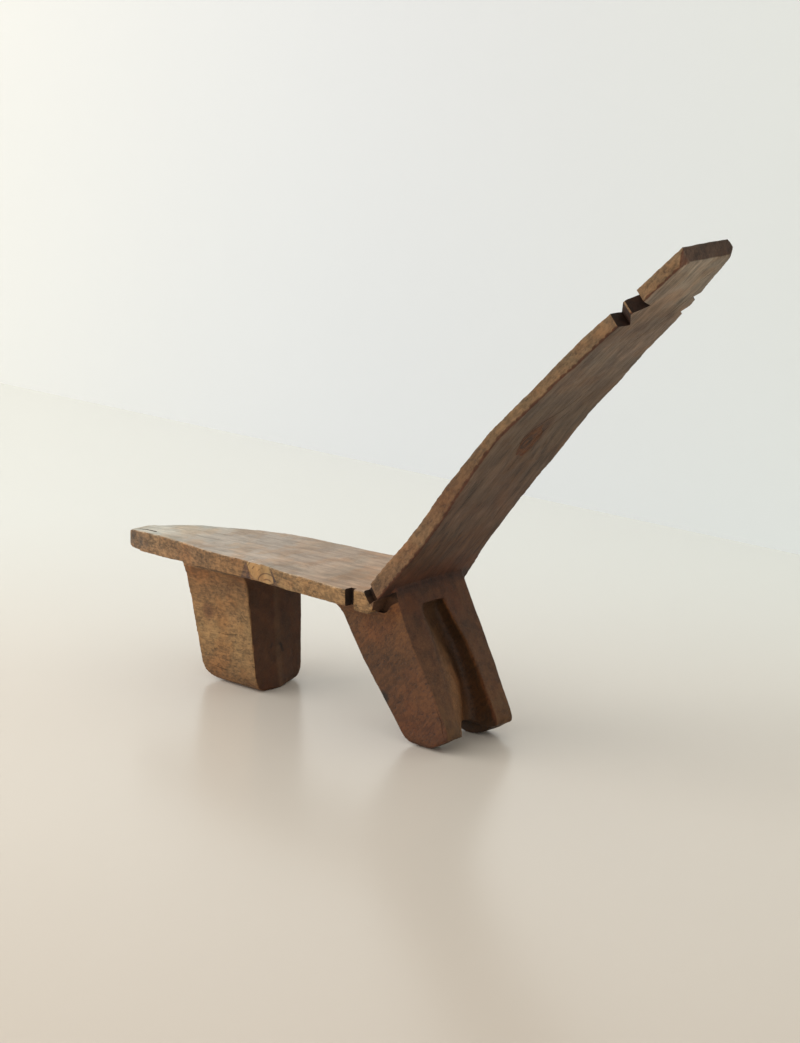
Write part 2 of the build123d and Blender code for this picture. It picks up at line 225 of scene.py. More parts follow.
def back_line(distance):
    """The point (y, z) on the backrest's rear, and its slope, at a distance up from the heel."""
    (y, z), walked, step = HEEL, 0.0, 2.0
    while walked < distance:
        slope = math.radians(curve_through(back_slope, walked + step / 2))
        move = min(step, distance - walked)
        y, z, walked = y + move * math.cos(slope), z + move * math.sin(slope), walked + move
    slope = math.radians(curve_through(back_slope, distance))
    if distance < 0:
        y, z = y + distance * math.cos(slope), z + distance * math.sin(slope)
    return y, z, slope


def on_back(x, distance, forward=0.0):
    """A point of the backrest: across, up from the heel, and forward of its rear face."""
    y, z, slope = back_line(distance)
    return place(x, y - forward * math.sin(slope), z + forward * math.cos(slope))


def back_ring(distance):
    """One ring across the backrest. The end leans, so that the front of the crest is its highest part."""
    near, far = curve_through(back_near, distance), curve_through(back_far, distance)
    thick = curve_through(back_thick, distance)
    end = max(0.0, distance / BACK_LENGTH - 0.96) / 0.04
    lean, bulge = 10.5 * end, 9.5 * end
    ring = []
    for x, forward in sides_of([(far, thick), (near, thick), (near, 0.0), (far, 0.0)], (12, 4)):
        if x == far:
            x -= bulge * math.sin(math.pi * forward / thick)
        ring.append(on_back(x, distance + lean * forward / thick, forward))
    return ring


back_steps = [-12, 0] + [12 * index for index in range(1, 53)] + [630, 637, BACK_LENGTH]
back_body = loft("backrest body", [back_ring(distance) for distance in back_steps])
print("crest at", [round(value, 4) for value in on_back(0, BACK_LENGTH, 16)])

# %% [markdown]
# ## The front leg
# A tapered block. Its rear side has a low ridge, its top flares softly into the seat, and its sole is worn
# round, most of all at the front.

# %% Front leg rings
front_leg_levels = [
    # height, flare at the sides and ends, rounding at the sides, extra rounding at the front
    (0, 0, 14, 26), (1.2, 0, 10, 20), (3, 0, 6.5, 14), (6, 0, 3.6, 8.5), (10, 0, 1.8, 4.2), (15, 0, 0.6, 1.6),
    (22, 0, 0, 0.4), (45, 0, 0, 0), (80, 0, 0, 0), (115, 0, 0, 0), (138, 0.3, 0, 0), (145, 1.6, 0, 0),
    (150, 3.8, 0, 0), (154, 7, 0, 0), (158, 12, 0, 0), (164, 14, 0, 0), (170, 14, 0, 0),
]
LEG_TOP, REAR_SIDE = 155, -262  # its height, and what lies behind this is its rear side


def front_leg_ring(height, flare, rounding, front_rounding):
    """One level ring round the front leg, with its ridge at the middle of the rear side."""
    share = height / LEG_TOP
    near, far = 43.2 + 4.6 * share, -46.6 - 0.8 * share
    front = -341 - 32 * share - flare * 0.15 + front_rounding
    tuck = rounding * 0.1  # the rear of the sole is worn least
    rear_near, rear_far = -240.5 - 14 * share - tuck, -252.5 + share - tuck
    ridge = -240.5 - 5 * min(1.0, height / 35) - 6.5 * share
    near, far = near - rounding, far + rounding * 1.4
    corners = [(far, front), (near, front), (near, rear_near), (3, ridge), (far, rear_far)]
    ring = []
    for x, y in sides_of(corners, (5,)):
        side = 1 if x > 0 else -1
        if abs(x) > abs(near) - 1.5 and flare:
            limit = curve_through(seat_near, y) if side > 0 else -curve_through(seat_far, y)
            x = side * min(abs(x) + flare, max(limit - 0.6, abs(x)))
        if y > REAR_SIDE:
            y += flare * 0.55
        ring.append(place(x, y, height))
    return ring


front_leg_body = loft("front leg body", [front_leg_ring(*level) for level in front_leg_levels])
print("front leg rings:", len(front_leg_levels))

# %% [markdown]
# ## The rear leg
# Seen from the side it rakes back and ends in a rocker sole. Its head spreads under the seat and up behind
# the backrest. The hollow down its back is cut afterwards.

# %% Rear leg rings
rear_leg_front = [(0, 58), (1, 52.5), (2.5, 48), (5, 44), (9, 39.5), (15, 34), (27, 24), (60, -3), (92, -30),
                  (131, -57), (152, -71.5), (158, -75.5), (163, -79), (168, -82), (176, -78), (182, -60),
                  (188, 6), (196, 15), (204, 18)]
rear_leg_back = [(0, 72), (1.5, 79), (4, 86), (8, 93.5), (11.5, 99), (15, 105), (18, 111.5), (20, 113.6),
                 (24, 114), (31, 112.4), (59, 98), (73, 91.3), (94, 80.8), (122, 66), (138, 57.6),
                 (145, 53.6), (165, 43), (170, 40.4), (176, 37.2), (188, 31.2), (196, 27.2), (204, 23.2)]
rear_leg_side = [(0, 49), (1.2, 52), (3, 54.5), (6, 56.8), (10, 58), (146, 58), (152, 59.5), (157, 62.5),
                 (161, 66.5), (166, 72), (171, 75), (182, 76), (188, 73), (196, 70), (204, 69)]
rear_leg_soft = [(0, 0.6), (20, 0.6), (60, 1), (100, 2.2), (145, 3), (196, 3.5), (204, 3)]
rear_leg_hewn = [(0, 0), (20, 0.3), (48, 1), (75, 2.2), (92, 5), (106, 7.2), (136, 8.5), (160, 7.5), (178, 5),
                 (196, 2), (204, 1)]
REAR_HALF = 58  # half the rear leg's width


def rear_leg_ring(height):
    """One level ring round the rear leg. Its right rear arris is hewn back and soft at the top."""
    front, rear = curve_through(rear_leg_front, height), curve_through(rear_leg_back, height)
    side, far = curve_through(rear_leg_side, height), REAR_HALF - max(0.0, 4.2 - height * 0.7)
    soft = curve_through(rear_leg_soft, height)
    near_rear = rear - curve_through(rear_leg_hewn, height)
    flush = min(side, REAR_HALF)  # the head spreads sideways at the front only
    corners = [(-far, front), (side, front), (side - (side - flush) * 0.3, 0), (flush, near_rear - soft),
               (flush - soft * 0.3, near_rear - soft * 0.3), (flush - soft, near_rear),
               (flush - soft - 22, rear - 1), (-far + 1.5, rear), (-far, rear - 1.5)]
    if near_rear - soft < 6 or front > -6:
        corners[2] = (flush, (front + near_rear - soft) / 2)
    return [place(x, y, height) for x, y in sides_of(corners, (4,))]


rear_leg_steps = [0, 1.2, 3, 5, 8, 11, 15, 19, 23, 27, 35, 45, 59, 75, 92, 110, 131, 145, 152, 158, 162, 166,
                  170, 174, 178, 182, 188, 192, 196, 204]
rear_leg_body = loft("rear leg body", [rear_leg_ring(height) for height in rear_leg_steps])
print("rear leg rings:", len(rear_leg_steps))

# %% [markdown]
# ## The hollow and the arch
# Every cut is a solid of its own that is taken away from the body. A gouge scooped the hollow down the rear
# leg, steep on its left and shallow on its right, so two sections are blended. The arch parts the feet.

# %% Hollow and arch
SOLE_Y, SOLE_Z, RAKE = 115.6, 20, math.radians(63.4)  # a point on the leg's rear side, and its slope


def rear_side_at(height):
    """Place of the rear leg's rear side at a height."""
    return SOLE_Y - (height - SOLE_Z) / math.tan(RAKE)


hollow_levels = [
    # height, width of the mouth right and left of the middle, depth, how far the right side is scooped
    (-6, 35, 30, 45, 0.5), (24, 35, 29.3, 42, 0.55), (45, 34.6, 29, 38, 0.8), (72, 33, 28.3, 34, 1),
    (95, 31, 27, 31, 0.9), (118, 29, 25, 29, 0.6), (145, 27.5, 17.5, 25, 0.3), (158, 29.3, 14.3, 22, 0.15),
    (166, 29, 13, 15, 0.1), (171.5, 28.6, 12.4, 6, 0),
]
steep_section = [  # shares of the width and of the depth
    (-1, -0.6), (-1, 0), (-0.96, 0.55), (-0.83, 0.9), (-0.55, 1), (-0.1, 0.99), (0.4, 0.9), (0.66, 0.7),
    (0.82, 0.45), (0.93, 0.22), (1, 0.06), (1.06, -0.04), (1.06, -0.6),
]
scooped_section = [
    (-1, -0.6), (-1, 0), (-0.98, 0.42), (-0.93, 0.66), (-0.82, 0.8), (-0.63, 0.82), (-0.38, 0.68),
    (-0.1, 0.5), (0.2, 0.34), (0.55, 0.2), (0.96, 0.06), (1.12, -0.05), (1.12, -0.6),
]


def hollow_ring(height, right, left, depth, scoop):
    """One level ring of the hollow."""
    ring, mouth = [], rear_side_at(height)
    for steep, scooped in zip(steep_section, scooped_section):
        across, deep = (first + (second - first) * scoop for first, second in zip(steep, scooped))
        ring.append(place(across * (right if across > 0 else left), mouth - deep * depth, height))
    return ring


fork_cut = loft("fork cut", [hollow_ring(*level) for level in hollow_levels])

arch_rings = []
for y, half, top in ((-10, 30, 22), (60, 31, 22), (92, 32, 24), (112, 32.5, 27), (140, 33, 30)):
    ring = []
    for index in range(17):
        angle = math.pi * index / 16
        ring.append(place(-half * math.cos(angle), y, top * abs(math.sin(angle)) ** 0.5))
    arch_rings.append(ring + [place(half, y, -12), place(-half, y, -12)])
arch_cut = loft("arch cut", arch_rings)
print("hollow and arch rings:", len(hollow_levels), "and", len(arch_rings))

# %% [markdown]
# ## Notches
# A square notch and a slanting notch were sawn in each side of the seat. Behind the tab that they leave, a
# shallow pocket is cut under the backrest's heel, and its faces take the near-black cut finish as painted
# shade. A prism from a drawn outline makes each of them.

# %% Notches, tabs and pockets
mitre_along = Vector((0, math.cos(CROOK_SLOPE), -math.sin(CROOK_SLOPE)))
mitre_square = Vector((0, math.sin(CROOK_SLOPE), math.cos(CROOK_SLOPE)))


def block(name, middle, sides):
    """A box from its middle and three half sides, each a vector."""
    a, b, c = sides
    outline = [middle - a - b, middle + a - b, middle + a + b, middle - a + b]
    return prism(name, outline, -c, c)


def across_side(name, side, outline, inner, outer):
    """A solid in one side of the chair, from (y, z) points, between two distances from the middle."""
    points = [place(0, y, z) for y, z in outline]
    return prism(name, points, Vector((side * inner * MM, 0, 0)), Vector((side * outer * MM, 0, 0)))


tabs, crisp_cuts, pockets = [], [], []
for side in (1, -1):
    tabs.append(across_side("tab", side, [
        (-25.5, 162), (-2, 161), (3, 164), (7.5, 171), (0, 183), (-25.5, 183)], 50, 80.5))
    out = Vector((side * 20 * MM, 0, 0))
    crisp_cuts.append(block("square notch", place(side * 95.2, -28.8, 182), (
        out, Vector((0, 4.9 * MM, 0)), Vector((0, 0, 30 * MM)))))
    middle = place(side * 89.5, -6.6, 190) + mitre_square * 5.1 * MM - mitre_along * 21 * MM
    crisp_cuts.append(block("slanting notch", middle, (out, mitre_along * 39 * MM, mitre_square * 6.6 * MM)))
    # a shallow pocket under the backrest's heel, whose faces take the near-black cut finish as painted shade
    pockets.append(across_side("pocket", side, [
        (1, 161.6), (8, 161), (14, 163), (18, 167), (21, 173), (30.5, 179), (31, 192), (20, 188), (9, 178.5),
        (8, 171.5), (3.5, 164.5)], 57.6, 95))
print("tabs:", len(tabs), "notches in the seat:", len(crisp_cuts), "pockets:", len(pockets))

# %% [markdown]
# ## Drying cracks
# Wood splits along its grain as it dries. Each crack is a thin wedge that opens in its middle and closes at
# both ends, so it is lofted along a line of points and taken away like any other cut.

# %% Cracks
def crack(points, inward, half, depth):
    """A wedge along a line of points: half its width, and its depth, in millimetres."""
    rings = []
    for index, point in enumerate(points):
        before, after = points[max(index - 1, 0)], points[min(index + 1, len(points) - 1)]
        aside = (after - before).cross(inward).normalized()
        open_by = 0.12 + (half - 0.12) * math.sin(math.pi * index / (len(points) - 1))
        mouth, root = aside * open_by * MM, aside * open_by * 0.2 * MM
        out, deep = inward * 2 * MM, inward * depth * MM
        rings.append([point - mouth - out, point + mouth - out, point + root + deep, point - root + deep])
    return loft("crack", rings)


for points, half, depth in (
    # in the rear of the backrest, through (x, distance up from the heel) points
    ([(24, 308), (16, 318), (4, 331), (-8, 345), (-16, 360), (-21, 378), (-26, 401)], 0.7, 3.5),
    ([(-2, 262), (-4, 275), (-3, 290), (-7, 305), (-12, 318)], 0.6, 2.5),
    ([(22, 262), (24, 280), (23, 297), (26, 312)], 0.45, 2.5),
    ([(-10, 300), (-16, 318), (-24, 334), (-30, 346)], 0.5, 2.5),
    ([(-30, 352), (-36, 366), (-41, 384)], 0.5, 2.5),
    ([(46, 168), (45, 190), (43, 215), (40, 236)], 0.5, 2.5),
    ([(6, 232), (5, 246), (2, 258)], 0.5, 2.5),
    ([(-24, 512), (-30, 530), (-36, 548), (-43, 566)], 0.6, 2.5),
    ([(-30, 505), (-38, 522), (-45, 534)], 0.5, 2.5),
    ([(-8, 470), (-16, 490), (-22, 508)], 0.45, 2.5),
    ([(-26, 596), (-31, 608), (-34, 618)], 0.5, 2.5),
):
    slope = back_line(points[len(points) // 2][1])[2]
    inward = Vector((0, -math.sin(slope), math.cos(slope)))
    crisp_cuts.append(crack([on_back(x, distance) for x, distance in points], inward, half, depth))
crisp_cuts.append(crack([place(x, y, 175) for x, y in (
    (38.5, -495), (34.5, -488), (31.5, -480), (29.2, -468), (30.8, -450), (30.2, -437), (31, -423))],
                        Vector((0, 0, -1)), 1.7, 5))
for x, points, inward, half, depth in (
    # in the sides of the front leg and in the rear leg's arris, through (y, z) points
    (45.5, [(-340, 20), (-328, 22.5), (-316, 21.5), (-300, 20.5), (-288, 21)], (-1, 0, 0), 0.5, 3),
    (45.1, [(-317, 68.4), (-307, 69), (-298, 68.6), (-287, 70.5), (-277, 72.2)], (-1, 0, 0), 0.35, 2),
    (46.1, [(-269, 102), (-264, 99.5), (-260, 96), (-255, 95)], (-1, 0, 0), 0.45, 2),
    (REAR_HALF, [(92, 62), (98, 50), (103.5, 41), (104.5, 30), (109, 21)], (-1, -0.2, 0), 0.6, 4),
):
    inward = Vector(inward).normalized()
    crisp_cuts.append(crack([place(x, y, z) for y, z in points], inward, half, depth))
print("notches and cracks:", len(crisp_cuts))

# %% [markdown]
# ## The crest
# The head of the backrest has two V notches in each edge, and its corners were cut off at a slant. Each
# corner is lofted between outlines at the rear and the front, because it slants through the board too.

# %% Crest notches and corners
crest_slope = back_line(BACK_LENGTH)[2]
through = Vector((0, math.sin(crest_slope), -math.cos(crest_slope))) * 0.05
for outline in (
    [(29, 524.6), (51, 526.5), (80, 526), (80, 551), (50, 550.4)],
    [(27.5, 562.5), (48, 553), (80, 552.5), (80, 575.5), (50, 575)],
    [(-51.4, 533), (-61, 526), (-80, 525.5), (-80, 547), (-59.6, 546.3)],
    [(-45.6, 563.5), (-56, 554.5), (-80, 554), (-80, 572), (-54, 571)],
):
    points = [on_back(x, distance) for x, distance in outline]
    crisp_cuts.append(prism("crest notch", points, -through, through))


def crest_corner(name, outlines):
    """A solid at a corner of the crest, through outlines at distances forward of its rear face."""
    return loft(name, [[on_back(x, distance, forward) for x, distance in outline]
                       for forward, outline in outlines])


near_crest = crest_corner("near crest corner", [
    (-2, [(45.6, 634), (28.5, 643.8), (28.5, 680), (70, 680), (70, 634)]),
    (17, [(46, 655.5), (43.6, 657), (43.6, 680), (70, 680), (70, 655.5)])])
far_crest = crest_corner("far crest corner", [
    (-2, [(-43, 630), (-39.5, 638), (-33, 645.5), (-33, 680), (-70, 680), (-70, 630)]),
    (8, [(-52, 634), (-49, 643), (-41, 652), (-41, 680), (-70, 680), (-70, 634)]),
    (17, [(-42, 645), (-38.5, 651), (-33, 657), (-33, 680), (-70, 680), (-70, 645)])])
print("cuts:", 4 + len(crisp_cuts))

# %% [markdown]
# ## Merging, cutting and wearing
# Boolean modifiers merge the members and take the cuts away. A voxel remesh then gives the whole body one
# even skin, and smoothing that skin rounds every arris as years of use do.

# %% One worn body
def combine(target, others, operation, fresh=0):
    """Adds or takes away the other solids and deletes them. fresh is the material of the faces they make."""
    for other in others:
        other.data.polygons.foreach_set("material_index", [fresh] * len(other.data.polygons))
        change = target.modifiers.new(operation.lower(), "BOOLEAN")
        change.operation, change.solver, change.object = operation, "MANIFOLD", other
    settle(target)
    for other in others:
        bpy.data.objects.remove(other)
    return target


def settle(piece):
    """Makes the result of a piece's modifiers its mesh."""
    graph = bpy.context.evaluated_depsgraph_get()
    graph.update()
    mesh = bpy.data.meshes.new_from_object(piece.evaluated_get(graph))
    piece.modifiers.clear()
    piece.data = mesh


VOXEL = 0.0015
body = combine(seat_body, [back_body, front_leg_body, rear_leg_body] + tabs, "UNION")
combine(body, [fork_cut, arch_cut, near_crest, far_crest], "DIFFERENCE")
print("carved body:", len(body.data.vertices), "points")

skin = body.modifiers.new("skin", "REMESH")
skin.mode, skin.voxel_size, skin.use_smooth_shade = "VOXEL", VOXEL, True
wear = body.modifiers.new("wear", "SMOOTH")
wear.factor, wear.iterations = 0.5, 3
settle(body)
print("worn skin:", len(body.data.vertices), "points")

# %% [markdown]
# ## Tool marks
# An adze leaves long shallow facets that run with the grain, and wood moves as it dries. Smooth noise moves
# each point a little in or out along its normal. A limit keeps the piece inside its real size.

# %% Adze marks
def dents(point):
    """How far the surface has sunk at a point, in metres: long facets, nicks and small pits."""
    slow = noise.noise(Vector((point.x * 26, point.y * 9, point.z * 14)) + Vector((3.1, 7.7, 1.3)))
    quick = noise.noise(Vector((point.x * 90, point.y * 34, point.z * 52)) + Vector((11.0, 2.0, 5.0)))
    fine = noise.noise(Vector((point.x * 300, point.y * 110, point.z * 170)) + Vector((1.0, 21.0, 8.0)))
    return (0.55 * slow + 0.4 * quick + 0.16 * fine - 0.3) * MM


low, high = Vector(cad_box[0]), Vector(cad_box[1])
flat = []
for vertex in body.data.vertices:
    flat.append(vertex.co - vertex.normal * dents(vertex.co))
drop = min(point.z for point in flat) - low.z
for point in flat:
    point.z -= drop * max(0.0, 1 - point.z / 0.15)  # the feet stand on the floor again
    for axis in range(3):
        point[axis] = min(max(point[axis], low[axis]), high[axis])
body.data.vertices.foreach_set("co", [number for point in flat for number in point])
body.data.update()
print("the feet came down", round(drop / MM, 2), "mm")

# %% [markdown]
# ## Crisp cuts
# The notches were sawn and chopped late in the chair's making and nothing rubs inside them, so they are cut
# after the wear and keep sharp arrises.

# %% Notches and cracks
def joined(name, pieces):
    """One object in place of several that don't touch."""
    work = bmesh.new()
    for piece in pieces:
        work.from_mesh(piece.data)
        bpy.data.objects.remove(piece)
    mesh = bpy.data.meshes.new(name)
    work.to_mesh(mesh)
    work.free()
    return new_object(name, mesh)


late_cuts = [joined("notches and cracks", crisp_cuts), joined("pockets", pockets)]
old_wood, cut_wood = bpy.data.materials.new("old wood"), bpy.data.materials.new("cut wood")
for piece in [body] + late_cuts:
    piece.data.materials.clear()
    for material in (old_wood, cut_wood):
        piece.data.materials.append(material)
combine(body, late_cuts, "DIFFERENCE", fresh=1)
marked = sum(polygon.material_index for polygon in body.data.polygons)
print("notched body:", len(body.data.vertices), "points,", marked, "faces of cut wood")

# %% [markdown]
# ## Sawing the body apart
# The seat ends at a line 3 mm below its underside, where the legs start, and the seat and backrest meet on
# the mitre. Each member keeps the part of the body on its own side, so the skins still meet exactly.

# %% Four members
def copy_of(piece, name):
    """A second object with its own copy of the mesh."""
    return new_object(name, piece.data.copy())


def side_block(points):
    """A solid across the whole chair from a side view of (y, z) points in millimetres."""
    aside = Vector((0.2, 0, 0))
    return prism("saw", [place(0, y, z) for y, z in points], -aside, aside)


UNDERSIDE, UNDERSIDE_SLOPE = 169, math.radians(2.55)  # its height at the crook


def below_seat(y):
    """Height of the saw line between seat and legs."""
    return UNDERSIDE + y * math.tan(UNDERSIDE_SLOPE) - 3


crook, over_crook = (-6.6, 190), (-81.6, 290)
joint = (crook[0] + 15.2, crook[1] - 15.2 * math.tan(CROOK_SLOPE))
beyond = (joint[0] + 30, joint[1] + 34)
under_tab = [(0, 160), (-26, 160), (-26, below_seat(-26))]
seat_side = [(-600, below_seat(-600))] + under_tab[::-1] + [joint, crook, over_crook, (-600, 290)]
back_side = [joint, beyond, (500, 610), (600, 700), (300, 760), over_crook, crook]
legs_side = [(-600, below_seat(-600)), (-600, -50), (200, -50), (200, 230), beyond, joint] + under_tab
front_side = [(-600, -50), (-160, -50), (-160, 260), (-600, 260)]
rear_side = [(-160, -50), (300, -50), (300, 260), (-160, 260)]

members = {}
for name, regions in (
    ("seat", [seat_side]), ("backrest", [back_side]),
    ("front leg", [legs_side, front_side]), ("rear leg", [legs_side, rear_side]),
):
    piece = copy_of(body, name)
    for region in regions:
        combine(piece, [side_block(region)], "INTERSECT")
    members[name] = piece
    print(name, len(piece.data.vertices), "points")
bpy.data.objects.remove(body)

# %% [markdown]
# ## The two knots
# A dead branch leaves a knot with a seam of bark round it. Each knot is its own piece, sawn out of the body
# so that it lies flush, and the socket that it leaves is a little wider than the knot.

# %% Knots and their sockets
def knot_cut(outline, across, grow):
    """A solid through a knot's outline, which is grown about its middle by a length."""
    middle = sum(outline, Vector()) / len(outline)
    grown = [point + (point - middle).normalized() * grow for point in outline]
    return prism("knot cut", grown, across[0], across[1])


def take_knot(member, name, outline, across):
    """Parts a knot from a member and returns it."""
    knot = copy_of(member, name)
    combine(knot, [knot_cut(outline, across, 0.0)], "INTERSECT")
    combine(member, [knot_cut(outline, across, 0.5 * MM)], "DIFFERENCE")
    return knot


seat_knot_outline = [place(52, y, z) for y, z in (
    (-229, 187), (-231, 180), (-226, 170), (-218, 164), (-204, 162), (-186, 162), (-176, 166), (-178, 174),
    (-184, 181), (-187, 188), (-200, 195), (-218, 195))]
seat_knot = take_knot(members["seat"], "seat edge knot", seat_knot_outline,
                      (Vector((0, 0, 0)), Vector((0.06, 0, 0))))
back_knot_outline = []
for index in range(24):
    angle = math.tau * index / 24
    reach = 1 + 0.16 * math.sin(2 * angle + 0.6) + 0.09 * math.sin(5 * angle) + 0.05 * math.sin(9 * angle)
    back_knot_outline.append(on_back(6 + 14 * reach * math.cos(angle), 288 + 30 * reach * math.sin(angle), 8))
knot_slope = back_line(287)[2]
knot_square = Vector((0, math.sin(knot_slope), -math.cos(knot_slope)))
back_knot = take_knot(members["backrest"], "backrest knot", back_knot_outline,
                      (Vector((0, 0, 0)), knot_square * 0.05))
for piece in (seat_knot, back_knot):
    print(piece.name, len(piece.data.vertices), "points")

# %% [markdown]
# ## Writing a material as sums
# A node tree is easier to read as arithmetic. Reading wraps one socket, and +, -, * and / between readings
# and plain numbers add the Math nodes. Colours are blended with Mix nodes.

# %% Shader arithmetic
class Reading:
    """A number that changes over a surface."""

    def __init__(self, finish, socket):
        self.finish, self.socket = finish, socket

    def math(self, operation, first, second):
        return self.finish.node("ShaderNodeMath", {"operation": operation}, {0: first, 1: second})

    def __add__(self, other):
        return self.math("ADD", self, other)

    def __sub__(self, other):
        return self.math("SUBTRACT", self, other)

    def __mul__(self, other):
        return self.math("MULTIPLY", self, other)

    def __truediv__(self, other):
        return self.math("DIVIDE", self, other)

    def __rsub__(self, other):
        return self.math("SUBTRACT", other, self)

    __radd__, __rmul__ = __add__, __mul__

    def between(self, low, high):
        """0 below low, 1 above high and smooth between."""
        return self.finish.node("ShaderNodeMapRange", {"interpolation_type": "SMOOTHSTEP"},
                                {0: self, 1: low, 2: high, 3: 0.0, 4: 1.0})

    def size(self):
        """The number without its sign."""
        return self.math("ABSOLUTE", self, 0.0)

    def root(self):
        return self.math("SQRT", self, 0.0)

    def wave(self):
        return self.math("SINE", self, 0.0)


class Finish:
    """A material that is being put together."""

    def __init__(self, name):
        self.material = bpy.data.materials.new(name)
        self.material.use_nodes = True
        self.tree = self.material.node_tree
        self.tree.nodes.clear()

    def node(self, kind, settings=None, sockets=None, output=0):
        """Adds a node: its settings first, then the values or links of its sockets."""
        made = self.tree.nodes.new(kind)
        for key, value in (settings or {}).items():
            setattr(made, key, value)
        for key, value in (sockets or {}).items():
            if isinstance(value, Reading):
                self.tree.links.new(value.socket, made.inputs[key])
            else:
                made.inputs[key].default_value = value
        return Reading(self, made.outputs[output]) if len(made.outputs) else None

    def blend(self, first, second, factor, way="MIX"):
        """A colour between two colours, or as far as a factor their product."""
        return self.node("ShaderNodeMix", {"data_type": "RGBA", "blend_type": way},
                         {0: factor, 6: first, 7: second}, 2)

    def darken(self, colour, amount):
        """A colour times a grey reading."""
        grey = self.node("ShaderNodeCombineColor", None, {0: amount, 1: amount, 2: amount})
        return self.blend(colour, grey, 1.0, "MULTIPLY")

    def ramp(self, place, stops):
        """A colour that changes through (place in metres, colour) stops."""
        colour = tint(*stops[0][1])
        for (before, _), (after, tone) in zip(stops, stops[1:]):
            colour = self.blend(colour, tint(*tone), place.between(before, after))
        return colour

    def dot(self, vector, direction):
        """How far a vector reaches along a direction."""
        return self.node("ShaderNodeVectorMath", {"operation": "DOT_PRODUCT"}, {0: vector, 1: direction}, 1)

    def vector(self, x, y, z):
        return self.node("ShaderNodeCombineXYZ", None, {0: x, 1: y, 2: z})

    def noise(self, vector, scale, detail=3.0, rough=0.55, warp=0.0):
        return self.node("ShaderNodeTexNoise", None, {
            "Vector": vector, "Scale": scale, "Detail": detail, "Roughness": rough, "Distortion": warp})

    def close(self, colour, roughness, gloss, extra=None):
        """Ends the material in one shader."""
        shader = self.node("ShaderNodeBsdfPrincipled", None, {
            "Base Color": colour, "Roughness": roughness, "Specular IOR Level": gloss, **(extra or {})})
        self.node("ShaderNodeOutputMaterial", None, {0: shader})
        return self.material


def tint(red, green, blue):
    """A colour from its 0 to 255 screen values."""
    def linear(value):
        value /= 255
        return value / 12.92 if value <= 0.04045 else ((value + 0.055) / 1.055) ** 2.4
    return (linear(red), linear(green), linear(blue), 1.0)


# %% [markdown]
# ## Old wood
# All the members share one recipe, because they come from one log. Long faces show streaks along the grain
# and fine fibres. The sides were cut across the fibres, so they are gritty: pale flecks, dark pits and
# blotches of patina.

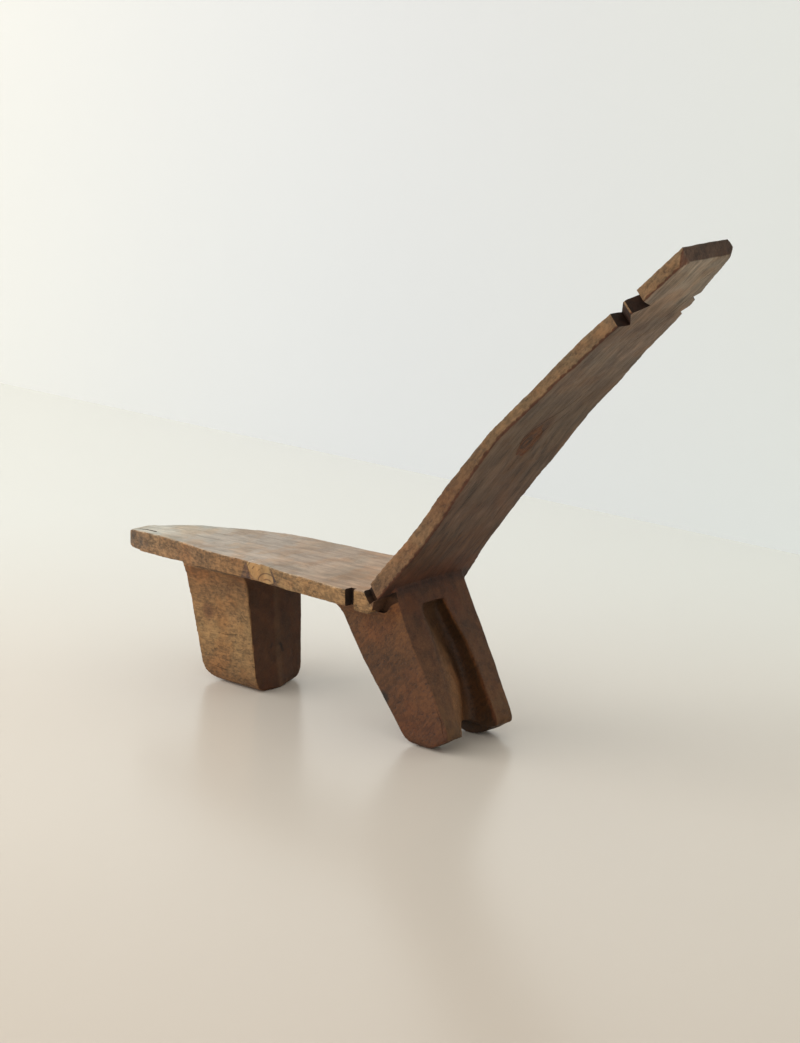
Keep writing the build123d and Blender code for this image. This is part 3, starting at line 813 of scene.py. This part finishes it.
# %% The wood recipe
class Wood(Finish):
    """Old carved wood whose grain runs in a direction."""

    def __init__(self, name, along):
        super().__init__(name)
        self.point = self.node("ShaderNodeTexCoord", None, None, 3)
        self.normal = self.node("ShaderNodeNewGeometry", None, None, 1)
        self.x, self.y, self.z = (self.dot(self.point, way) for way in ((1, 0, 0), (0, 1, 0), (0, 0, 1)))
        along = Vector(along).normalized()
        third = along.cross(Vector((1, 0, 0)))
        self.u, self.w = self.dot(self.point, tuple(along)), self.dot(self.point, tuple(third))
        self.sway = self.noise(self.point, 9.0, 2.0)
        self.broad = self.noise(self.point, 11.0, 3.0, 0.5, 0.3)
        self.sideways = self.dot(self.normal, (1, 0, 0)).size()

    def grain(self, long, fine, detail, bend):
        """Noise drawn out along the grain: so many waves a metre along and across it."""
        bent = self.sway * bend
        vector = self.vector(self.u * long, self.x * fine + bent, self.w * fine + bent)
        return self.noise(vector, 1.0, detail, 0.6)

    def facing(self, way, threshold):
        """1 where the surface looks one way and 0 elsewhere."""
        return self.dot(self.normal, way).between(threshold - 0.14, threshold + 0.14)

    def arris(self, way, low, high):
        """1 along the rounded edges between the sides and a face that looks one way."""
        return (self.sideways * self.dot(self.normal, way) * 2.0).between(low, high)

    def patch(self, spot, half, low, high):
        """1 inside an oval and 0 outside it."""
        return (1 - self.near(spot, half)).between(low, high)

    def near(self, spot, half):
        """How far out of an oval a point lies: 0 in its middle and 1 on its rim."""
        parts = []
        for reading, middle, reach in zip((self.x, self.y, self.z), spot, half):
            if reach:
                part = (reading - middle) / reach
                parts.append(part * part)
        total = parts[0]
        for part in parts[1:]:
            total = total + part
        return total.root()

    def drawn(self, long, fine, detail, rough):
        """Noise a little longer along the grain than across it."""
        return self.noise(self.vector(self.u * long, self.x * fine, self.w * fine), 1.0, detail, rough, 0.3)

    def finish(self, colour, contrast, rough):
        """Adds streaks, fibres, flecks, pits and patina to a colour, and closes the material."""
        streaks, fibres = self.grain(7.0, 95.0, 5.0, 2.0), self.grain(26.0, 520.0, 3.0, 6.0)
        scratches = self.grain(15.0, 360.0, 3.0, 7.0)
        grit, mottle = self.drawn(140.0, 230.0, 5.0, 0.7), self.drawn(30.0, 58.0, 5.0, 0.65)
        pits = self.drawn(190.0, 400.0, 3.0, 0.6).between(0.56, 0.68) * (1 - mottle.between(0.45, 0.60) * 0.7)
        flecks = self.noise(self.point, 190.0, 3.0, 0.6).between(0.58, 0.72)
        cut = self.sideways.between(0.45, 0.75)
        long_shade = streaks.between(0.38, 0.62) * 0.4 + fibres.between(0.38, 0.62) * 0.3
        long_shade = long_shade + mottle.between(0.40, 0.60) * 0.3
        cut_shade = grit.between(0.40, 0.60) * 0.52 + mottle.between(0.40, 0.60) * 0.28
        cut_shade = cut_shade + fibres.between(0.40, 0.60) * 0.2
        worn = self.broad.between(0.44, 0.58)
        long_light = 1 + (long_shade - 0.5) * contrast[0]
        long_light = long_light + scratches.between(0.56, 0.70) * (0.15 + 0.85 * worn) * contrast[0] * 0.55
        cut_light = 1 + (cut_shade - 0.5) * contrast[1] + flecks * contrast[1] * 0.22
        light = long_light + (cut_light - long_light) * cut
        light = light * (1 - pits * (0.15 + 0.30 * cut) * contrast[1]) * (0.93 + 0.14 * worn)
        warm = self.noise(self.point, 19.0, 4.0, 0.6)
        cool = self.noise(self.vector(self.y, self.z, self.x), 15.0, 4.0)
        colour = self.blend(colour, (1.0, 0.89, 0.79, 1), warm.between(0.47, 0.62), "MULTIPLY")
        colour = self.blend(colour, (0.84, 0.90, 0.93, 1), cool.between(0.50, 0.62) * 0.8, "MULTIPLY")
        colour = self.darken(colour, light * 1.06)
        height = streaks * 0.5 + fibres * 0.25 + grit * cut * 0.7 + mottle * 0.45 - pits * 0.6
        bump = self.node("ShaderNodeBump", None, {"Height": height, "Strength": 0.7, "Distance": 0.0012})
        return self.close(colour, rough + 0.16 * mottle - 0.05 * streaks, 0.35, {"Normal": bump})


# %% [markdown]
# ## Seat and backrest
# What changes from member to member is the way the grain runs and the tone of each side. Light, smoke and
# hands changed the tones slowly, so each is a ramp along the member. Some ramps also hold painted light and
# shade: the seat top is paler towards its nose where the lamp falls most, and the backrest is painted darker
# at its heel as shade where it meets the rear leg.

# %% Seat and backrest finishes
seat_slope, back_lean = math.radians(2.5), math.radians(46)
level = (0, math.cos(seat_slope), math.sin(seat_slope))
raked = (0, math.cos(back_lean), math.sin(back_lean))
behind = (0, math.sin(back_lean), -math.cos(back_lean))
before = (0, -math.sin(back_lean), math.cos(back_lean))
# seat top tones from the nose back to the crook; the pale nose is painted light, where the lamp falls most
SEAT_TONES = [(-0.48, (187, 181, 168)), (-0.30, (171, 157, 144)), (0.02, (165, 136, 112))]


def seat_wood():
    """Bleached grey-brown on top and paler towards the nose as painted light, tan at the sides, with a
    stained nose, dark bark beside the knot, painted shade underneath and a pale top arris that is partly wear
    and partly painted highlight.
    """
    wood = Wood("seat wood", level)
    top = wood.ramp(wood.y, SEAT_TONES)
    sides = wood.ramp(wood.y, [(-0.45, (146, 111, 77)), (-0.25, (125, 91, 57)), (-0.1, (146, 110, 71))])
    stain = wood.patch((0.03, crook_y - 0.476, 0.162), (0, 0.026, 0.012), -0.25, 0.35)
    blotch = wood.noise(wood.point, 120.0, 4.0, 0.7).between(0.40, 0.60)
    sides = wood.blend(sides, tint(84, 72, 62), stain * (0.35 + 0.6 * blotch))
    colour = wood.blend(sides, top, wood.facing((0, 0, 1), 0.62))
    # painted shade on the seat's underside
    colour = wood.blend(colour, tint(98, 76, 55), wood.facing((0, 0, -1), 0.7))
    # a pale line along the top arris: worn wood and a painted highlight
    colour = wood.blend(colour, tint(190, 160, 128), wood.arris((0, 0, 1), 0.4, 0.9) * 0.5)
    for middle, lean, spread in ((-0.2335, 0.0, 0.45), (-0.176, 0.5, 0.33)):
        across = wood.y - (crook_y + middle) + (wood.z - 0.172) * lean
        wedge = ((0.183 - wood.z) * spread - across.size()).between(-0.0014, 0.0014)
        wedge = wedge * wood.facing((1, 0, 0), 0.5) * (0.45 + 0.5 * blotch)
        colour = wood.blend(colour, tint(74, 55, 50), wedge)
    return wood.finish(colour, (0.5, 1.05), 0.60)


def backrest_wood():
    """Dark brown behind and low, greyer towards the crest, with tan sides and a dark crest end. The darkest
    band at the heel is painted shade, where the backrest meets the rear leg.
    """
    wood = Wood("backrest wood", raked)
    # the two lowest stops are painted shade at the heel, where the backrest meets the rear leg
    rear = wood.ramp(wood.z, [
        (0.19, (56, 32, 21)), (0.208, (81, 49, 31)), (0.24, (84, 60, 43)), (0.30, (87, 65, 50)),
        (0.42, (95, 76, 59)), (0.53, (104, 86, 71)), (0.65, (142, 125, 107))])
    sides = wood.ramp(wood.z, [
        (0.18, (108, 76, 50)), (0.24, (126, 92, 61)), (0.34, (99, 69, 43)), (0.45, (121, 92, 61)),
        (0.60, (127, 99, 69))])
    front = wood.ramp(wood.z, [(0.2, (150, 122, 98)), (0.6, (172, 152, 130))])
    colour = wood.blend(rear, sides, wood.sideways.between(0.58, 0.82))
    colour = wood.blend(colour, front, wood.facing(before, 0.6))
    colour = wood.blend(colour, tint(76, 56, 44), wood.facing(raked, 0.62) * wood.z.between(0.4, 0.5))
    colour = wood.blend(colour, tint(82, 47, 32), wood.arris(behind, 0.15, 0.55) * 0.85)
    halo = wood.patch(on_back(4, 300), (0.019, 0.036, 0.036), -0.35, 0.35)
    colour = wood.blend(colour, tint(82, 50, 30), halo * wood.facing(behind, 0.6) * 0.6)
    return wood.finish(colour, (1.0, 0.8), 0.62)


# %% [markdown]
# ## The legs
# Little light reaches the rear of the front leg or the hollow of the rear leg. The front leg's rear is darker
# wood with painted shade on it, and the hollow is painted dark as shade.

# %% Leg finishes
def front_leg_wood():
    """Warm tan at the sides and very dark behind, where the light doesn't reach."""
    wood = Wood("front leg wood", level)
    colour = wood.ramp(wood.z, [(0.0, (119, 84, 51)), (0.06, (137, 104, 66)), (0.16, (122, 83, 48))])
    blotch = wood.patch((0, crook_y - 0.330, 0.094), (0, 0.012, 0.013), -0.2, 0.5)
    colour = wood.blend(colour, tint(92, 58, 36), blotch * 0.7)
    # the rear side: darker wood with painted shade on it
    rear = wood.ramp(wood.x, [(-0.012, (74, 44, 23)), (0.001, (88, 58, 35)), (0.006, (75, 44, 22))])
    swirl = wood.near((0.003, 0, 0.036), (0.015, 0, 0.026))
    swirl = swirl.between(0.75, 0.92) * (1.15 - swirl).between(0.0, 0.15) * wood.z.between(0.036, 0.050)
    broken = 0.1 + 0.8 * wood.noise(wood.point, 90.0).between(0.4, 0.6)
    rear = wood.blend(rear, tint(40, 26, 17), swirl * broken)
    colour = wood.blend(colour, rear, wood.facing((0, 1, 0), 0.5))
    colour = wood.blend(colour, tint(146, 108, 70), wood.arris((0, 1, 0), 0.4, 0.9) * 0.45)
    return wood.finish(colour, (0.55, 0.9), 0.62)


def rear_leg_wood():
    """Reddish brown, darker behind, with painted shade at the top of its head and in the hollow, which is
    almost black on its far side and a lighter brown on its scooped slope.
    """
    wood = Wood("rear leg wood", raked)
    colour = wood.ramp(wood.z, [(0.0, (86, 49, 25)), (0.08, (88, 53, 27)), (0.16, (105, 66, 34))])
    rear_side = wood.ramp(wood.z, [(0.02, (90, 61, 35)), (0.08, (84, 54, 32)), (0.17, (82, 50, 29))])
    colour = wood.blend(colour, rear_side, wood.facing((0, 1, 0), 0.5))
    # painted shade at the top of the rear leg's head, under the backrest's heel
    heel_shade = wood.z.between(0.180, 0.196) * (wood.y - crook_y).between(0.0, 0.01)
    colour = wood.blend(colour, tint(56, 33, 21), heel_shade)
    chip = wood.patch((0, crook_y + 0.005, 0.052), (0, 0.009, 0.010), -0.2, 0.5)
    colour = wood.blend(colour, tint(32, 24, 18), chip * 0.9)
    # painted shade in the hollow: near black on the far wall, lighter brown on the scooped slope that faces
    # more light
    deep = (crook_y + SOLE_Y * MM - wood.y) * math.sin(RAKE) - (wood.z - SOLE_Z * MM) * math.cos(RAKE)
    inside = deep.between(0.0015, 0.005) * (0.046 - wood.x.size()).between(0.0, 0.006)
    inside = inside * wood.dot(wood.normal, (0, 1, 0.2)).between(-0.5, -0.2)
    lower = (0.085 - wood.z).between(0.0, 0.05)
    scooped = (wood.x + 0.018 + lower * 0.010).between(0.0, 0.022)
    scooped = scooped * (0.032 + lower * 0.012 - deep).between(0.0, 0.020)
    hollow = wood.blend(tint(64, 39, 16), tint(106, 72, 43), scooped * (0.175 - wood.z).between(0.0, 0.08))
    colour = wood.blend(colour, hollow, inside)
    return wood.finish(colour, (0.7, 0.8), 0.58)


# %% [markdown]
# ## Knots, cuts and hidden wood
# A knot is the end of a branch, so it shows year rings. The inside of the notches, cracks and pockets is
# painted near black as shade.

# %% Other finishes
def knot_wood(name, spot, half, pale, dark, rings, burnt, skin=None):
    """The end of a branch, with its year rings round a spot. A skin is its colour where it faces up."""
    wood = Wood(name, (1, 0, 0.2))
    reach = wood.near(spot, half) + (wood.broad - 0.5) * 0.35
    ring = (reach * rings).wave() * 0.5 + 0.5
    lines = ring.between(0.78, 0.98) * wood.noise(wood.point, 60.0, 2.0).between(0.42, 0.52)
    colour = wood.blend(tint(*pale), tint(*dark), lines * 0.8)
    specks = wood.noise(wood.point, 110.0, 4.0, 0.7).between(0.44, 0.56)
    colour = wood.blend(colour, tint(*dark), specks * burnt)
    if skin:
        colour = wood.blend(colour, wood.ramp(wood.y, skin), wood.facing((0, 0, 1), 0.62))
    return wood.finish(colour, (0.5, 0.8), 0.62)


def shaded_cut_wood():
    """Near-black painted shade for the inside of notches and splits, a lighter brown shade in the pocket."""
    wood = Wood("shaded cut wood", level)
    # painted shade: near black inside the notches and cracks
    colour = wood.blend(tint(38, 23, 12), tint(64, 38, 22), wood.noise(wood.point, 30.0).between(0.4, 0.65))
    # the pocket under the backrest's heel is painted a lighter brown shade
    pocket = (wood.y - crook_y + 0.006).between(0.0, 0.004) * (0.184 - wood.z).between(0.0, 0.004)
    colour = wood.blend(colour, tint(76, 49, 30), pocket)
    return wood.finish(colour, (0.4, 0.4), 0.75)


seat_knot_wood = knot_wood("seat knot wood", (0.0, crook_y - 0.188, 0.158), (0, 0.034, 0.026),
                           (158, 124, 82), (96, 68, 46), 22.0, 0.0, SEAT_TONES)
back_knot_wood = knot_wood("backrest knot wood", on_back(10, 285), (0.014, 0.024, 0.024),
                           (100, 56, 18), (50, 29, 14), 5.0, 0.55)
hidden_wood = Wood("hidden wood", level).finish(tint(150, 116, 78), (0.4, 0.4), 0.65)
for finish in (seat_knot_wood, back_knot_wood, hidden_wood):
    print(finish.name, len(finish.node_tree.nodes), "nodes")

# %% [markdown]
# ## Every piece takes its place
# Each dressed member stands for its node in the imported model. The wedges, dowels and pegs are hidden inside
# the wood, and stay as they are with a plain wood finish.

# %% Dressed pieces
dressed = [
    (members["seat"], "seat_plank", "seat_wood", seat_wood()),
    (members["backrest"], "backrest", "backrest_wood", backrest_wood()),
    (members["front leg"], "front_leg", "front_leg_wood", front_leg_wood()),
    (members["rear leg"], "rear_leg", "rear_leg_wood", rear_leg_wood()),
    (seat_knot, "seat_edge_knot", "seat_knot_wood", seat_knot_wood),
    (back_knot, "backrest_knot", "backrest_knot_wood", back_knot_wood),
]
# painted shade for the faces that the notches, cracks and pockets leave
inside_cuts = shaded_cut_wood()
SHARP = math.radians(38)  # a steeper arris than this isn't shaded round
for piece, node, slot, finish in dressed:
    piece.name = "dressed_" + node
    piece.data.materials[0], piece.data.materials[1] = finish, inside_cuts
    piece.data.polygons.foreach_set("use_smooth", [True] * len(piece.data.polygons))
    piece.data.set_sharp_from_angle(angle=SHARP)
    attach(piece, "root")
    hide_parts(node)
for node in ("front_leg_wedges", "rear_leg_wedges", "mitre_dowels", "heel_pegs"):
    packed = frame["nodes"][node]
    for slot in packed.material_slots:
        slot.material = hidden_wood
print("dressed pieces:", len(dressed))

# %% [markdown]
# ## A plain studio
# The chair stands on a pale floor in front of a pale wall. One large soft lamp stands to its right, which is
# the left of the picture, and the room's own light fills the shadows.

# %% Floor, wall and light
def sheet(name, corners):
    """A flat sheet with four corners."""
    mesh = bpy.data.meshes.new(name)
    mesh.from_pydata(corners, [], [(0, 1, 2, 3)])
    piece = new_object(name, mesh)
    return piece


floor = sheet("floor", [(-1.1, -9, 0), (8, -9, 0), (8, 6, 0), (-1.1, 6, 0)])
wall = sheet("wall", [(-0.838, -9, -0.01), (-1.138, 6, -0.01), (-1.138, 6, 5), (-0.838, -9, 5)])


def paint(name, way, stops, roughness, gloss):
    """Matt paint whose colour drifts along a direction through (metres, colour) stops, a painted gradient of
    light.
    """
    finish = Finish(name)
    point = finish.node("ShaderNodeTexCoord", None, None, 3)
    colour = finish.ramp(finish.dot(point, way), stops)
    return finish.close(
        finish.darken(colour, 0.985 + 0.03 * finish.noise(point, 1.4, 2.0)), roughness, gloss)


# painted light: the floor is paler towards the wall and warmer and darker near the camera
floor.data.materials.append(paint("floor paint", (-0.88, -0.47, 0), [
    (-1.3, (218, 202, 186)), (-0.2, (227, 215, 202)), (1.0, (237, 235, 228))], 0.24, 0.5))
# painted light: the wall is paler towards the lamp's side
wall.data.materials.append(paint("wall paint", (0, 1, 0), [
    (-2.6, (240, 238, 233)), (-1.0, (228, 229, 231)), (0.3, (235, 238, 236))], 0.9, 0.1))


window = bpy.data.lights.new("window", "AREA")
window.shape, window.size, window.energy, window.color = "SQUARE", 3.0, 54, (1.0, 0.98, 0.94)
lamp, aim = new_object("window", window), Vector((0, 0, 0.3))
lamp.location = (1.9, -2.4, 1.7)
lamp.rotation_euler = (aim - lamp.location).to_track_quat("-Z", "Y").to_euler()
world = bpy.data.worlds.new("room")
bpy.context.scene.world = world
world.use_nodes = True
sky = world.node_tree.nodes["Background"]
sky.inputs["Color"].default_value = (0.93, 0.96, 0.94, 1)
sky.inputs["Strength"].default_value = 0.83

# %% [markdown]
# ## The camera
# The camera looks at the chair from behind and to one side, and a little down.

# %% Camera
camera_data = bpy.data.cameras.new("camera")
camera_data.sensor_fit, camera_data.sensor_height, camera_data.lens = "VERTICAL", 24.0, 73.63
camera = new_object("camera", camera_data)
back = Vector((0.6901, 0.6819, 0.2424))
camera.location = (2.7216, 2.6646 + crook_y, 1.2154)
camera.rotation_euler = (-back).to_track_quat("-Z", "Y").to_euler()
bpy.context.scene.camera = camera
bpy.context.scene.view_settings.view_transform = "Standard"
